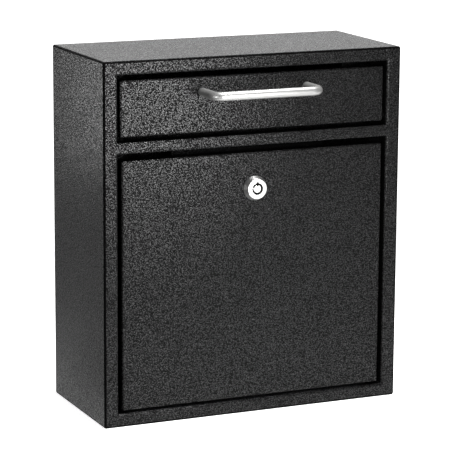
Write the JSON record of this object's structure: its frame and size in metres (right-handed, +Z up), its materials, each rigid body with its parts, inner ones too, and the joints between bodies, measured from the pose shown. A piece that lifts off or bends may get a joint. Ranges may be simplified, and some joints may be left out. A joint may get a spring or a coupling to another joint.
{
  "type": "wall drop box",
  "caption": "Upright steel drop box with a pull-down hopper flap above and a key-locked drop-down door below.",
  "frame": {"origin": "centre of the cabinet's underside", "axes": "+Z up, -Y out of the front, +X to the right seen from the front"},
  "size_m": [0.271, 0.1487, 0.307],
  "materials": {
    "black_coat": "black powder coat with a fine hammered grain",
    "bright_handle": "bright polished round bar",
    "lock_plating": "satin nickel plating with fine turning marks",
    "zinc_plate": "dull zinc plating",
    "rubber_rest": "matte black rubber"
  },
  "bodies": {
    "cabinet": {"cabinet_shell": "black_coat", "back_panel": "black_coat", "lock_keeper": "black_coat", "stile_stop_left": "black_coat", "stile_stop_right": "black_coat", "door_bumper_left": "rubber_rest", "door_bumper_right": "rubber_rest", "flap_bumper_left": "rubber_rest", "flap_bumper_right": "rubber_rest", "flap_pivot_rod": "black_coat", "rod_clip_left": "black_coat", "rod_clip_right": "black_coat", "door_hinge_frame_leaf": "zinc_plate", "door_hinge_pin": "zinc_plate"},
    "flap": {"flap_panel": "black_coat", "hopper_tray": "black_coat", "hopper_cheek_left": "black_coat", "hopper_cheek_right": "black_coat", "handle": "bright_handle", "handle_washer_left": "zinc_plate", "handle_washer_right": "zinc_plate", "handle_screw_left": "zinc_plate", "handle_screw_right": "zinc_plate"},
    "door": {"door_panel": "black_coat", "door_hinge_door_leaf": "zinc_plate", "lock_housing": "lock_plating", "lock_nut": "zinc_plate"},
    "lock": {"lock_plug": "lock_plating", "lock_stop_washer": "zinc_plate", "lock_cam": "zinc_plate", "cam_washer": "zinc_plate", "cam_screw": "zinc_plate"}
  },
  "joints": [
    {"name": "flap_tilt", "type": "hinge", "parent": "cabinet", "child": "flap", "pos_m": [0, -0.0533, 0.2478], "axis": [1, 0, 0], "range_deg": [0, 50]},
    {"name": "door_drop", "type": "hinge", "parent": "cabinet", "child": "door", "pos_m": [0, -0.0545, 0.0182], "axis": [1, 0, 0], "range_deg": [0, 90]},
    {"name": "lock_turn", "type": "hinge", "parent": "door", "child": "lock", "pos_m": [0, -0.0585, 0.1943], "axis": [0, 1, 0], "range_deg": [0, 90]}
  ]
}
